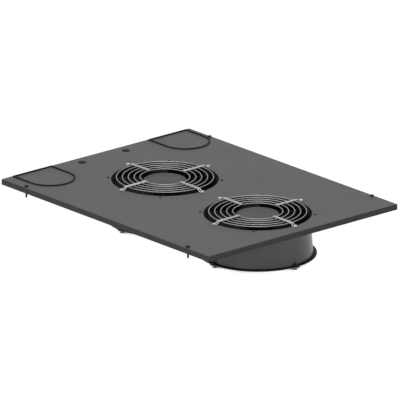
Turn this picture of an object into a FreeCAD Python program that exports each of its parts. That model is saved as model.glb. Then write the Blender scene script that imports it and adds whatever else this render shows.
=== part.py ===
import FreeCAD, Part
import math
import os

import Sketcher
from FreeCAD import Placement, Rotation, Vector

# Fan tray for the roof of an equipment rack, in millimetres, +Z up. A folded steel panel carries two
# axial fans in deep round shrouds, which blow upwards through finger guards. The origin is the middle
# of the four mounting screws, on the plane of the panel's folded rim, where the tray sits on the rack.

doc = FreeCAD.newDocument("rack_fan_tray")
sheet = doc.addObject("Spreadsheet::Sheet", "dims")

SIZES = {
    # folded panel
    "panel_width": 597,
    "panel_depth": 764,
    "panel_height": 14,
    "sheet_gauge": 1.5,
    "bend_radius": 2,
    # mounting screws
    "screw_side_inset": 8,
    "screw_end_inset": 84.5,
    "screw_radius": 2.5,
    "screw_neck_radius": 2.1,
    "screw_hole_play": 0.3,
    "screw_head_radius": 5,
    "screw_head_height": 3.7,
    "screw_reach": 13,
    "retainer_radius": 4.4,
    "retainer_gauge": 1.2,
    "retainer_play": 0.3,
    # cable entries at the rear corners and their covers
    "entry_radius": 61.5,
    "entry_straight": 67,
    "entry_margin": 5.5,
    "entry_left_inset": 31,
    "entry_right_inset": 14.5,
    "entry_gap": 4.5,
    "seal_lip": 2.5,
    "seal_lip_gauge": 1.2,
    "seal_stand": 2.6,
    # rubber plugs
    "plug_x": 69.5,
    "plug_inset": 31,
    "plug_radius": 10.5,
    "plug_rise": 2,
    "plug_hole_radius": 8,
    "plug_skirt": 5,
    "plug_barb": 0.7,
    # fan places and their round shrouds
    "fan_front_inset": 167,
    "fan_pitch": 340,
    "opening_radius": 130,
    "throat_inset": 5.8,
    "mouth_flare": 6.1,
    "mouth_lip": 3.5,
    "shroud_wall": 2.5,
    "shroud_depth": 98.5,
    "flange_width": 9,
    "flange_gauge": 3,
    "bolt_offset": 4.7,
    # fan fasteners
    "bolt_radius": 2,
    "bolt_hole_play": 0.25,
    "thread_play": 0.02,
    "pan_head_radius": 3.6,
    "pan_head_height": 2.2,
    "guard_head_radius": 4.2,
    "guard_head_height": 2.4,
    "bolt_past_flange": 9,
    "screw_past_flange": 1.5,
    "nut_across_flats": 7,
    "nut_height": 3.2,
    # finger guards
    "guard_wire": 2.3,
    "guard_hub_gap": 8.5,
    "guard_edge_gap": 13,
    "guard_rings": 5,
    "guard_rise": 5,
    "weld_sink": 0.2,
    "spoke_spread": 1.3,
    "spoke_inset": 2,
    "spoke_knee_inset": 6,
    "spoke_foot_outset": 1,
    "eye_radius": 3.4,
    # motor bracket
    "bracket_gauge": 2,
    "bracket_arm_width": 22,
    "bracket_rise": 15,
    "bracket_knee_inset": 1.3,
    "bracket_slope_run": 17,
    "bracket_foot_inset": 0.5,
    "lead_hole_radius": 9,
    "motor_screw_inset": 10,
    "motor_screw_grip": 6,
    # motor
    "base_radius": 46,
    "base_height": 11,
    "base_bore_floor": 9,
    "tube_wall": 2,
    "bearing_radius": 11,
    "bearing_width": 7,
    "tube_play": 1.5,
    "shaft_radius": 4,
    "running_play": 0.03,
    "press_play": 0.02,
    "air_gap": 0.68,
    "core_slots": 12,
    "core_slot_depth": 18,
    "core_slot_width": 6,
    "coil_play": 1.5,
    "coil_top_gap": 8.5,
    "coil_height": 6,
    "coil_inset": 6.9,
    "coil_bore": 22,
    "clip_radius": 6.5,
    "clip_gauge": 1,
    "clip_play": 0.3,
    "shaft_tail": 3,
    "grommet_lip": 2.5,
    "grommet_flange": 2,
    "grommet_bore": 3.5,
    "grommet_reach": 1.5,
    # rotor and impeller
    "hub_drop": 1.5,
    "hub_radius": 51.5,
    "hub_wall": 2.9,
    "hub_cap": 2.5,
    "hub_foot_rise": 4.5,
    "can_wall": 3,
    "can_foot_gap": 8,
    "can_boss_radius": 9,
    "can_boss_height": 4.5,
    "blade_count": 5,
    "blade_gauge": 2.5,
    "blade_tip_gap": 2.2,
    "blade_root_chord": 62,
    "blade_tip_chord": 92,
    "blade_root_pitch": 48,
    "blade_tip_pitch": 27,
    "blade_camber": 0.09,
    "blade_sweep": 22,
    "blade_middle_drop": 26,
    "blade_start_angle": 210,
}

for row, (alias, number) in enumerate(SIZES.items(), start=1):
    sheet.set(f"A{row}", alias)
    sheet.set(f"B{row}", str(number))
    sheet.setAlias(f"B{row}", alias)
doc.recompute()

# Levels and places worked out from the driving sizes, as expressions on the sheet.
UNDERSIDE = "(dims.panel_height - dims.sheet_gauge)"
FLANGE_BOTTOM = f"({UNDERSIDE} - dims.shroud_depth)"
FLANGE_TOP = f"({FLANGE_BOTTOM} + dims.flange_gauge)"
BRACKET_FOOT = f"({FLANGE_BOTTOM} - dims.bracket_gauge)"
MOTOR_SEAT = f"({FLANGE_BOTTOM} + dims.bracket_rise)"
HUB_TOP = "(dims.panel_height - dims.hub_drop)"
CAN_TOP = f"({HUB_TOP} - dims.hub_cap)"
CAN_INNER_TOP = f"({CAN_TOP} - dims.can_wall)"
CAN_FOOT = f"({MOTOR_SEAT} + dims.base_height + dims.can_foot_gap)"
CAN_RADIUS = "(dims.hub_radius - dims.hub_wall)"
CORE_RADIUS = f"({CAN_RADIUS} - dims.press_play - dims.can_wall - dims.air_gap)"
TUBE_TOP = f"({CAN_INNER_TOP} - dims.can_boss_height - dims.tube_play)"
BEARING_FLOOR = f"({MOTOR_SEAT} + dims.base_bore_floor)"
CORE_FOOT = f"({MOTOR_SEAT} + dims.base_height + dims.coil_play + dims.coil_height)"
CORE_HEIGHT = f"({CAN_INNER_TOP} - dims.coil_top_gap - dims.coil_height - {CORE_FOOT})"
TUBE_RADIUS = "(dims.bearing_radius + dims.tube_wall)"
MOTOR_SCREW_CIRCLE = "(dims.base_radius - dims.motor_screw_inset)"
THROAT = "(dims.opening_radius - dims.throat_inset)"
MOUTH = f"({THROAT} + dims.mouth_flare)"
FLANGE = f"({MOUTH} + dims.shroud_wall + dims.flange_width)"
BOLT_CIRCLE = f"({MOUTH} + dims.shroud_wall + dims.bolt_offset)"
BLADE_TIP = f"({THROAT} - dims.blade_tip_gap)"
FIRST_RING = "(dims.hub_radius + dims.guard_hub_gap)"
RING_PITCH = f"((dims.opening_radius - dims.guard_edge_gap - {FIRST_RING}) / (dims.guard_rings - 1))"
BRACKET_KNEE = f"({MOUTH} - dims.bracket_knee_inset)"
BRACKET_SEAT_END = f"({BRACKET_KNEE} - dims.bracket_slope_run)"
FAN_Y = {
    "front": "(dims.fan_front_inset - dims.panel_depth / 2)",
    "rear": "(dims.fan_front_inset + dims.fan_pitch - dims.panel_depth / 2)",
}
ENTRY_X = {
    "left": "(dims.entry_left_inset + dims.entry_radius - dims.panel_width / 2)",
    "right": "(dims.panel_width / 2 - dims.entry_radius - dims.entry_right_inset)",
}
ENTRY_REAR_Y = "(dims.panel_depth / 2 - dims.entry_margin)"
PLUG_Y = "(dims.panel_depth / 2 - dims.plug_inset)"
SCREW_X = "(dims.panel_width / 2 - dims.screw_side_inset)"
SCREW_Y = "(dims.panel_depth / 2 - dims.screw_end_inset)"
QUARTERS = (0, 90, 180, 270)
DIAGONALS = (45, 135, 225, 315)


def size(expression):
    """The number that an expression on the sheet comes to."""
    found = sheet.evalExpression(expression)
    return float(getattr(found, "Value", found))


def place(piece, x="0", y="0", z="0"):
    """Binds a piece's place to the sheet."""
    for axis, expression in (("x", x), ("y", y), ("z", z)):
        piece.setExpression(f"Placement.Base.{axis}", expression)


def new_body(label):
    body = doc.addObject("PartDesign::Body", label)
    body.Label = label
    return body


def new_sketch(body, name, role, height="0"):
    """A sketch on one of the body's own origin planes, lifted along its normal."""
    sketch = body.newObject("Sketcher::SketchObject", name)
    plane = [item for item in body.Origin.OriginFeatures if item.Role == role][0]
    sketch.AttachmentSupport = [(plane, "")]
    sketch.MapMode = "FlatFace"
    sketch.setExpression("AttachmentOffset.Base.z", height)
    return sketch


def fix_point(sketch, index, end, x, y):
    """Ties one end of an edge, or a circle's centre, to the sheet."""
    for kind, expression in (("DistanceX", x), ("DistanceY", y)):
        held = sketch.addConstraint(Sketcher.Constraint(kind, -1, 1, index, end, size(expression)))
        sketch.setExpression(f"Constraints[{held}]", expression)


def draw_outline(sketch, corners):
    """A closed outline of straight edges through corners given as expressions."""
    points = [Vector(size(x), size(y), 0) for x, y in corners]
    count = len(points)
    first = sketch.GeometryCount
    for here, point in enumerate(points):
        sketch.addGeometry(Part.LineSegment(point, points[(here + 1) % count]))
    for here in range(count):
        after = first + (here + 1) % count
        sketch.addConstraint(Sketcher.Constraint("Coincident", first + here, 2, after, 1))
    for here, (x, y) in enumerate(corners):
        fix_point(sketch, first + here, 1, x, y)


def draw_circle(sketch, x, y, radius):
    centre = Vector(size(x), size(y), 0)
    index = sketch.addGeometry(Part.Circle(centre, Vector(0, 0, 1), size(radius)))
    held = sketch.addConstraint(Sketcher.Constraint("Radius", index, size(radius)))
    sketch.setExpression(f"Constraints[{held}]", radius)
    fix_point(sketch, index, 3, x, y)


def draw_entry(sketch, radius, rear, straight):
    """The outline of a cable entry: square at the rear, half round at the inner end."""
    turn = f"({rear} - {straight})"
    corners = [(f"-{radius}", turn), (f"-{radius}", rear), (radius, rear), (radius, turn)]
    points = [Vector(size(x), size(y), 0) for x, y in corners]
    first = sketch.GeometryCount
    arc = first + len(points) - 1
    for start, end in zip(points, points[1:]):
        sketch.addGeometry(Part.LineSegment(start, end))
    circle = Part.Circle(Vector(0, size(turn), 0), Vector(0, 0, 1), size(radius))
    sketch.addGeometry(Part.ArcOfCircle(circle, math.pi, math.tau))
    for here in (first, first + 1):
        sketch.addConstraint(Sketcher.Constraint("Coincident", here, 2, here + 1, 1))
    sketch.addConstraint(Sketcher.Constraint("Coincident", first, 1, arc, 1))
    sketch.addConstraint(Sketcher.Constraint("Coincident", arc - 1, 2, arc, 2))
    fix_point(sketch, first, 1, *corners[0])
    for here in range(first, arc):
        fix_point(sketch, here, 2, *corners[here - first + 1])
    level = sketch.addConstraint(Sketcher.Constraint("DistanceY", -1, 1, arc, 3, points[0].y))
    sketch.setExpression(f"Constraints[{level}]", turn)


def pad(body, sketch, name, length, both_ways=False):
    feature = body.newObject("PartDesign::Pad", name)
    feature.Profile = sketch
    feature.Midplane = both_ways
    feature.setExpression("Length", length)
    return feature


def cut_through(body, sketch, name, depth):
    """A pocket down from the sketch, tested to have taken material away."""
    before = body.Shape.Volume
    feature = body.newObject("PartDesign::Pocket", name)
    feature.Profile = sketch
    feature.setExpression("Length", depth)
    doc.recompute()
    if not body.Shape.Volume < before:
        raise RuntimeError(f"{name} removes nothing from {body.Label}")
    return feature


def repeat_round(body, feature, sketch, name, count):
    """Repeats a feature round the axis of its sketch."""
    pattern = body.newObject("PartDesign::PolarPattern", name)
    pattern.Originals = [feature]
    pattern.Axis = (sketch, ["N_Axis"])
    pattern.Angle = 360
    pattern.Occurrences = count
    body.Tip = pattern
    return pattern


def turned(label, corners):
    """A body turned about Z from an outline of radius and height."""
    body = new_body(label)
    sketch = new_sketch(body, f"{label}_profile", "XZ_Plane")
    draw_outline(sketch, corners)
    turn = body.newObject("PartDesign::Revolution", f"{label}_turn")
    turn.Profile = sketch
    turn.ReferenceAxis = (sketch, ["V_Axis"])
    turn.Angle = 360
    doc.recompute()
    return body


def group(label, solid, places, upside_down=False):
    """Identical loose pieces in one node, one solid for each place."""
    turn = Rotation(Vector(1, 0, 0), 180 if upside_down else 0)
    copies = []
    for spot in places:
        copy = solid.copy()
        copy.Placement = Placement(spot, turn)
        copies.append(copy)
    feature = doc.addObject("Part::Feature", label)
    feature.Label = label
    feature.Shape = Part.makeCompound(copies)
    return feature


def round_places(angles, radius, height):
    """Places round both fans, at the given angles, on one radius and level."""
    spots = []
    for middle in FAN_Y.values():
        for angle in angles:
            turn = math.radians(angle)
            spots.append(Vector(radius * math.cos(turn), size(middle) + radius * math.sin(turn), height))
    return spots


def fastener(head_radius, head_height, shank_radius, shank_length):
    """A round head above the origin, edge broken, with its shank below."""
    head = Part.makeCylinder(head_radius, head_height)
    upper_edge = [edge for edge in head.Edges if edge.BoundBox.ZMin > head_height / 2]
    head = head.makeChamfer(head_height / 3, upper_edge)
    shank = Part.makeCylinder(shank_radius, shank_length, Vector(0, 0, -shank_length))
    return head.fuse(shank).removeSplitter()


# The panel: one steel sheet, its four edges folded down into a rim, with two fan openings, the fans'
# screw holes, two cable entries, two plug holes and four mounting holes.
def make_top_panel():
    body = new_body("top_panel")
    blank = new_sketch(body, "panel_blank", "XY_Plane")
    across = "dims.panel_width / 2"
    along = "dims.panel_depth / 2"
    draw_outline(blank, [
        (f"-{across}", f"-{along}"), (across, f"-{along}"),
        (across, along), (f"-{across}", along),
    ])
    block = pad(body, blank, "panel_block", "dims.panel_height")
    doc.recompute()
    height = size("dims.panel_height")
    outer = []
    for index, edge in enumerate(block.Shape.Edges, start=1):
        if edge.BoundBox.ZMax > height / 2:
            outer.append(f"Edge{index}")
    bend = body.newObject("PartDesign::Fillet", "panel_bends")
    bend.Base = (block, outer)
    bend.setExpression("Radius", "dims.bend_radius")
    doc.recompute()
    floor = []
    for index, face in enumerate(bend.Shape.Faces, start=1):
        if face.BoundBox.ZMax < height / 2:
            floor.append(f"Face{index}")
    shell = body.newObject("PartDesign::Thickness", "panel_shell")
    shell.Base = (bend, floor)
    shell.Reversed = True
    shell.setExpression("Value", "dims.sheet_gauge")
    doc.recompute()
    for fan, middle in FAN_Y.items():
        cut_fan_opening(body, fan, middle)
    for side, middle in ENTRY_X.items():
        entry = new_sketch(body, f"entry_{side}", "XY_Plane", "dims.panel_height")
        entry.setExpression("AttachmentOffset.Base.x", middle)
        draw_entry(entry, "dims.entry_radius", ENTRY_REAR_Y, "dims.entry_straight")
        cut_through(body, entry, f"entry_cut_{side}", "dims.sheet_gauge")
    small = new_sketch(body, "small_holes", "XY_Plane", "dims.panel_height")
    for side in ("-", ""):
        draw_circle(small, f"{side}dims.plug_x", PLUG_Y, "dims.plug_hole_radius")
        for end in ("-", ""):
            draw_circle(small, side + SCREW_X, end + SCREW_Y, "dims.screw_radius + dims.screw_hole_play")
    cut_through(body, small, "small_hole_cut", "dims.sheet_gauge")
    return body


def cut_fan_opening(body, fan, middle):
    opening = new_sketch(body, f"opening_{fan}", "XY_Plane", "dims.panel_height")
    draw_circle(opening, "0", middle, "dims.opening_radius")
    cut_through(body, opening, f"opening_cut_{fan}", "dims.sheet_gauge")
    hole = new_sketch(body, f"fan_hole_{fan}", "XY_Plane", "dims.panel_height")
    hole.setExpression("AttachmentOffset.Base.y", middle)
    draw_circle(hole, BOLT_CIRCLE, "0", "dims.bolt_radius + dims.bolt_hole_play")
    first = cut_through(body, hole, f"fan_hole_cut_{fan}", "dims.sheet_gauge")
    repeat_round(body, first, hole, f"fan_hole_ring_{fan}", len(QUARTERS) + len(DIAGONALS))
    doc.recompute()


# A cable entry cover: a flat blank that fills its entry, held in a rubber seal.
def make_cable_cover(side):
    body = new_body(f"cable_cover_{side}")
    outline = new_sketch(body, f"cover_outline_{side}", "XY_Plane")
    radius = "(dims.entry_radius - dims.entry_gap)"
    rear = f"({ENTRY_REAR_Y} - dims.entry_gap)"
    draw_entry(outline, radius, rear, "(dims.entry_straight - dims.entry_gap)")
    pad(body, outline, f"cover_plate_{side}", "dims.sheet_gauge")
    place(body, x=ENTRY_X[side], z=UNDERSIDE)
    return body


# The rubber seal round a cover: a web that fills the gap and stands a little proud of the sheet, on a
# lip that carries the cover's edge and grips the underside of the panel.
def make_cover_seal(side):
    body = new_body(f"cover_seal_{side}")
    for name, reach, lift, tall in (
        ("lip", "dims.seal_lip", "0", "dims.seal_lip_gauge"),
        ("web", "-dims.press_play", "dims.seal_lip_gauge", "dims.sheet_gauge + dims.seal_stand"),
    ):
        outline = new_sketch(body, f"seal_{name}_{side}", "XY_Plane", lift)
        draw_entry(outline, f"(dims.entry_radius + {reach})", f"({ENTRY_REAR_Y} + {reach})",
                   f"(dims.entry_straight + {reach})")
        gap = f"(dims.entry_gap + {reach})"
        draw_entry(outline, f"(dims.entry_radius - {gap})", f"({ENTRY_REAR_Y} - {gap})",
                   f"(dims.entry_straight - {gap})")
        pad(body, outline, f"seal_{name}_pad_{side}", tall)
    doc.recompute()
    place(body, x=ENTRY_X[side], z=f"{UNDERSIDE} - dims.seal_lip_gauge")
    return body


# Rubber plugs that close two round cable holes: a low dome outside and a barbed skirt inside.
def make_hole_plugs():
    gauge = size("dims.sheet_gauge")
    rise = size("dims.plug_rise")
    head = size("dims.plug_radius")
    neck = size("dims.plug_hole_radius") - size("dims.press_play")
    barb = neck + size("dims.plug_barb")
    skirt = size("dims.plug_skirt")
    profile = [
        Vector(0, 0, rise), Vector(head - rise, 0, rise), Vector(head, 0, 0), Vector(neck, 0, 0),
        Vector(neck, 0, -gauge), Vector(barb, 0, -gauge - barb + neck), Vector(neck - rise, 0, -skirt),
        Vector(0, 0, -skirt), Vector(0, 0, rise),
    ]
    solid = Part.Face(Part.makePolygon(profile)).revolve(Vector(), Vector(0, 0, 1), 360)
    height = size("dims.panel_height")
    spots = [Vector(sign * size("dims.plug_x"), size(PLUG_Y), height) for sign in (-1, 1)]
    return group("hole_plugs", solid, spots)


def mounting_places(height):
    return [Vector(x * size(SCREW_X), y * size(SCREW_Y), height) for x in (-1, 1) for y in (-1, 1)]


# Four black captive screws that fasten the tray to the rack's roof frame: a head, a slim neck through
# the sheet and its retainer, and the thread below them.
def make_mounting_screws():
    neck = size("dims.sheet_gauge + dims.retainer_gauge + dims.retainer_play")
    upper = fastener(size("dims.screw_head_radius"), size("dims.screw_head_height"),
                     size("dims.screw_neck_radius"), neck)
    foot = size("dims.panel_height + dims.screw_reach")
    thread = Part.makeCylinder(size("dims.screw_radius"), foot - neck, Vector(0, 0, -foot))
    return group("mounting_screws", upper.fuse(thread), mounting_places(size("dims.panel_height")))


# Plastic washers round the screws' necks under the sheet, so that they stay in the tray.
def make_screw_retainers():
    gauge = size("dims.retainer_gauge")
    washer = Part.makeCylinder(size("dims.retainer_radius"), gauge)
    bore = Part.makeCylinder(size("dims.screw_neck_radius + dims.press_play"), gauge)
    return group("screw_retainers", washer.cut(bore), mounting_places(size(UNDERSIDE) - gauge))


# A fan's shroud: spun steel, flanged at both ends, widening from the throat under the panel to the
# mouth where the air comes in. Its upper flange is tapped, and its lower one is drilled.
def make_fan_shroud(fan):
    bend = "(dims.opening_radius + dims.shroud_wall * sqrt(2))"
    ledge = "-(dims.shroud_depth - dims.flange_gauge)"
    body = turned(f"fan_shroud_{fan}", [
        ("dims.opening_radius", "0"),
        (FLANGE, "0"),
        (FLANGE, "-dims.flange_gauge"),
        (f"{bend} - dims.flange_gauge", "-dims.flange_gauge"),
        (f"{THROAT} + dims.shroud_wall", f"{THROAT} + dims.shroud_wall - {bend}"),
        (f"{MOUTH} + dims.shroud_wall", ledge),
        (FLANGE, ledge),
        (FLANGE, "-dims.shroud_depth"),
        (f"{MOUTH} + dims.mouth_lip", "-dims.shroud_depth"),
        (MOUTH, "dims.mouth_lip - dims.shroud_depth"),
        (THROAT, "-dims.throat_inset"),
    ])
    tapped = new_sketch(body, f"tapped_hole_{fan}", "XY_Plane")
    draw_circle(tapped, BOLT_CIRCLE, "0", "dims.bolt_radius + dims.thread_play")
    first = cut_through(body, tapped, f"tapped_cut_{fan}", "dims.flange_gauge")
    repeat_round(body, first, tapped, f"tapped_ring_{fan}", len(QUARTERS) + len(DIAGONALS))
    doc.recompute()
    drilled = new_sketch(body, f"drilled_hole_{fan}", "XY_Plane", ledge)
    draw_circle(drilled, BOLT_CIRCLE, "0", "dims.bolt_radius + dims.bolt_hole_play")
    second = cut_through(body, drilled, f"drilled_cut_{fan}", "dims.flange_gauge")
    repeat_round(body, second, drilled, f"drilled_ring_{fan}", len(QUARTERS))
    place(body, y=FAN_Y[fan], z=UNDERSIDE)
    return body


# Screws through the panel into the shrouds' upper flanges, between the guards' feet.
def make_shroud_screws():
    length = size("dims.sheet_gauge + dims.flange_gauge + dims.screw_past_flange")
    solid = fastener(size("dims.pan_head_radius"), size("dims.pan_head_height"),
                     size("dims.bolt_radius"), length)
    spots = round_places(DIAGONALS, size(BOLT_CIRCLE), size("dims.panel_height"))
    return group("shroud_screws", solid, spots)


# Plated screws that hold the outlet guards' eyes down on the panel.
def make_outlet_guard_screws():
    wire = size("dims.guard_wire")
    length = wire + size("dims.sheet_gauge + dims.flange_gauge + dims.screw_past_flange")
    solid = fastener(size("dims.guard_head_radius"), size("dims.guard_head_height"),
                     size("dims.bolt_radius"), length)
    spots = round_places(QUARTERS, size(BOLT_CIRCLE), size("dims.panel_height") + wire)
    return group("outlet_guard_screws", solid, spots)


# Bolts up through the inlet guards' eyes, the motor brackets' feet and the lower flanges.
def make_inlet_guard_bolts():
    wire = size("dims.guard_wire")
    length = wire + size("dims.bracket_gauge + dims.flange_gauge + dims.bolt_past_flange")
    solid = fastener(size("dims.guard_head_radius"), size("dims.guard_head_height"),
                     size("dims.bolt_radius"), length)
    spots = round_places(QUARTERS, size(BOLT_CIRCLE), size(BRACKET_FOOT) - wire)
    return group("inlet_guard_bolts", solid, spots, upside_down=True)


# Hexagon nuts on those bolts, on top of the lower flanges.
def make_flange_nuts():
    height = size("dims.nut_height")
    corner = size("dims.nut_across_flats") / math.sqrt(3)
    points = []
    for step in range(7):
        turn = math.radians(60 * step)
        points.append(Vector(corner * math.cos(turn), corner * math.sin(turn), 0))
    hexagon = Part.Face(Part.makePolygon(points)).extrude(Vector(0, 0, height))
    bore = Part.makeCylinder(size("dims.bolt_radius + dims.thread_play"), height)
    spots = round_places(QUARTERS, size(BOLT_CIRCLE), size(FLANGE_TOP))
    return group("flange_nuts", hexagon.cut(bore), spots)


def square_section(centre, tangent, side):
    """A square of wire standing across a path, two of its sides level."""
    across = tangent.cross(Vector(0, 0, 1)).normalize() * (side / 2)
    lift = Vector(0, 0, side / 2)
    corners = [centre + across + lift, centre - across + lift, centre - across - lift, centre + across - lift]
    return Part.makePolygon(corners + corners[:1])


def guard_spoke(rise):
    """A hairpin of wire: two close legs over the rings, which part to a round eye about its screw."""
    wire = size("dims.guard_wire")
    spread = size("dims.spoke_spread")
    eye = size("dims.eye_radius")
    centre = size(BOLT_CIRCLE)
    low = wire / 2
    top = rise + wire - size("dims.weld_sink") if rise > wire else low
    out = [
        Vector(size(f"{FIRST_RING} - dims.spoke_inset"), spread, top),
        Vector(size("dims.opening_radius - dims.spoke_knee_inset"), spread, top),
        Vector(size("dims.opening_radius + dims.spoke_foot_outset"), eye, low),
        Vector(centre, eye, low),
    ]
    back = [Vector(point.x, -point.y, point.z) for point in reversed(out)]
    edges = [Part.makeLine(start, end) for start, end in zip(out, out[1:])]
    edges.append(Part.Arc(out[-1], Vector(centre + eye, 0, low), back[0]).toShape())
    edges += [Part.makeLine(start, end) for start, end in zip(back, back[1:])]
    path = Part.Wire(edges)
    section = square_section(out[0], Vector(1, 0, 0), wire)
    return path.makePipeShell([section], True, False, 1)


def guard_ring(radius, height):
    wire = size("dims.guard_wire")
    section = square_section(Vector(radius, 0, height), Vector(0, 1, 0), wire)
    return Part.Face(section).revolve(Vector(), Vector(0, 0, 1), 360)


# A finger guard: rings of plated wire, welded to four hairpin spokes that end in screw eyes. The
# outlet guard stands up off the panel, and the inlet guard is flat, its rings outermost.
def make_guard(label, rise, flipped, fan, height):
    wire = size("dims.guard_wire")
    level = rise if rise > wire else wire * 1.5 - size("dims.weld_sink")
    rings = []
    for count in range(int(size("dims.guard_rings"))):
        radius = size(FIRST_RING) + count * size(RING_PITCH)
        rings.append(guard_ring(radius, level))
    spoke = guard_spoke(rise)
    spokes = []
    for angle in QUARTERS:
        copy = spoke.copy()
        copy.rotate(Vector(), Vector(0, 0, 1), angle)
        spokes.append(copy)
    solid = rings[0].multiFuse(rings[1:] + spokes)
    if flipped:
        solid.rotate(Vector(), Vector(1, 0, 0), 180)
    feature = doc.addObject("Part::Feature", label)
    feature.Label = label
    feature.Shape = solid
    place(feature, y=FAN_Y[fan], z=height)
    return feature


# The motor bracket: a pressed steel cross under the lower flange, its arms raised to a round seat.
def make_motor_bracket(fan):
    body = new_body(f"motor_bracket_{fan}")
    side = new_sketch(body, f"arm_side_{fan}", "XZ_Plane")
    foot_end = f"{FLANGE} - dims.bracket_foot_inset"
    slope = "(dims.bracket_rise / dims.bracket_slope_run)"
    setback = f"dims.bracket_gauge / {slope} / 2"
    seat_foot = "dims.bracket_rise - dims.bracket_gauge"
    draw_outline(side, [
        ("0", "dims.bracket_rise"),
        (BRACKET_SEAT_END, "dims.bracket_rise"),
        (BRACKET_KNEE, "0"),
        (foot_end, "0"),
        (foot_end, "-dims.bracket_gauge"),
        (f"{BRACKET_KNEE} - {setback}", "-dims.bracket_gauge"),
        (f"{BRACKET_SEAT_END} - {setback}", seat_foot),
        ("0", seat_foot),
    ])
    arm = pad(body, side, f"arm_{fan}", "dims.bracket_arm_width", both_ways=True)
    doc.recompute()
    seat = new_sketch(body, f"seat_{fan}", "XY_Plane", seat_foot)
    draw_circle(seat, "0", "0", "dims.base_radius")
    repeat_round(body, arm, seat, f"arms_{fan}", len(QUARTERS))
    doc.recompute()
    pad(body, seat, f"seat_plate_{fan}", "dims.bracket_gauge")
    doc.recompute()
    middle = new_sketch(body, f"lead_hole_{fan}", "XY_Plane", "dims.bracket_rise")
    draw_circle(middle, "0", "0", "dims.lead_hole_radius")
    cut_through(body, middle, f"lead_hole_cut_{fan}", "dims.bracket_gauge")
    screw = new_sketch(body, f"seat_hole_{fan}", "XY_Plane", "dims.bracket_rise")
    offset = f"{MOTOR_SCREW_CIRCLE} * sqrt(0.5)"
    draw_circle(screw, offset, offset, "dims.bolt_radius + dims.bolt_hole_play")
    first = cut_through(body, screw, f"seat_hole_cut_{fan}", "dims.bracket_gauge")
    repeat_round(body, first, screw, f"seat_holes_{fan}", len(DIAGONALS))
    doc.recompute()
    foot = new_sketch(body, f"foot_hole_{fan}", "XY_Plane")
    draw_circle(foot, BOLT_CIRCLE, "0", "dims.bolt_radius + dims.bolt_hole_play")
    second = cut_through(body, foot, f"foot_hole_cut_{fan}", "dims.bracket_gauge")
    repeat_round(body, second, foot, f"foot_holes_{fan}", len(QUARTERS))
    place(body, y=FAN_Y[fan], z=FLANGE_BOTTOM)
    return body


# Screws up through the bracket's seat into the motor's base.
def make_motor_screws():
    length = size("dims.bracket_gauge + dims.motor_screw_grip")
    solid = fastener(size("dims.pan_head_radius"), size("dims.pan_head_height"),
                     size("dims.bolt_radius"), length)
    height = size(f"{MOTOR_SEAT} - dims.bracket_gauge")
    spots = round_places(DIAGONALS, size(MOTOR_SCREW_CIRCLE), height)
    return group("motor_screws", solid, spots, upside_down=True)


# The motor's cast base: a round flange on the bracket's seat and a tube that holds the bearings.
def make_motor_base(fan):
    bore = "dims.bearing_radius + dims.press_play"
    top = f"{TUBE_TOP} - {MOTOR_SEAT}"
    body = turned(f"motor_base_{fan}", [
        ("dims.lead_hole_radius", "0"),
        ("dims.base_radius", "0"),
        ("dims.base_radius", "dims.base_height / 2"),
        ("dims.coil_bore", "dims.base_height"),
        (TUBE_RADIUS, "dims.base_height"),
        (TUBE_RADIUS, top),
        (bore, top),
        (bore, "dims.base_bore_floor"),
        ("dims.lead_hole_radius", "dims.base_bore_floor"),
    ])
    tapped = new_sketch(body, f"base_hole_{fan}", "XY_Plane", "dims.motor_screw_grip")
    offset = f"{MOTOR_SCREW_CIRCLE} * sqrt(0.5)"
    draw_circle(tapped, offset, offset, "dims.bolt_radius + dims.thread_play")
    first = cut_through(body, tapped, f"base_hole_cut_{fan}", "dims.motor_screw_grip")
    repeat_round(body, first, tapped, f"base_holes_{fan}", len(DIAGONALS))
    place(body, y=FAN_Y[fan], z=MOTOR_SEAT)
    return body


# The stator: a slotted core of steel laminations pushed over the bearing tube.
def make_stator_core(fan):
    body = turned(f"stator_core_{fan}", [
        (f"{TUBE_RADIUS} + dims.press_play", "0"),
        (CORE_RADIUS, "0"),
        (CORE_RADIUS, CORE_HEIGHT),
        (f"{TUBE_RADIUS} + dims.press_play", CORE_HEIGHT),
    ])
    slot = new_sketch(body, f"core_slot_{fan}", "XY_Plane", CORE_HEIGHT)
    floor = f"{CORE_RADIUS} - dims.core_slot_depth"
    mouth = f"{CORE_RADIUS} + dims.core_slot_width"
    half = "dims.core_slot_width / 2"
    draw_outline(slot, [(floor, f"-{half}"), (mouth, f"-{half}"), (mouth, half), (floor, half)])
    first = cut_through(body, slot, f"core_slot_cut_{fan}", CORE_HEIGHT)
    repeat_round(body, first, slot, f"core_slots_{fan}", int(size("dims.core_slots")))
    place(body, y=FAN_Y[fan], z=CORE_FOOT)
    return body


# The windings' end turns, a bound ring of copper at each end of the core.
def make_stator_windings(fan):
    height = size("dims.coil_height")
    ring = Part.makeCylinder(size(f"{CORE_RADIUS} - dims.coil_inset"), height)
    ring = ring.cut(Part.makeCylinder(size("dims.coil_bore"), height))
    levels = (-height, size(CORE_HEIGHT))
    windings = group(f"stator_windings_{fan}", ring, [Vector(0, 0, level) for level in levels])
    place(windings, y=FAN_Y[fan], z=CORE_FOOT)
    return windings


# Four ball bearings, one at each end of each motor's tube.
def make_bearings():
    width = size("dims.bearing_width")
    ring = Part.makeCylinder(size("dims.bearing_radius"), width)
    ring = ring.cut(Part.makeCylinder(size("dims.shaft_radius + dims.running_play"), width))
    spots = []
    for middle in FAN_Y.values():
        for level in (BEARING_FLOOR, f"({TUBE_TOP} - dims.bearing_width)"):
            spots.append(Vector(0, size(middle), size(level)))
    return group("bearings", ring, spots)


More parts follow.
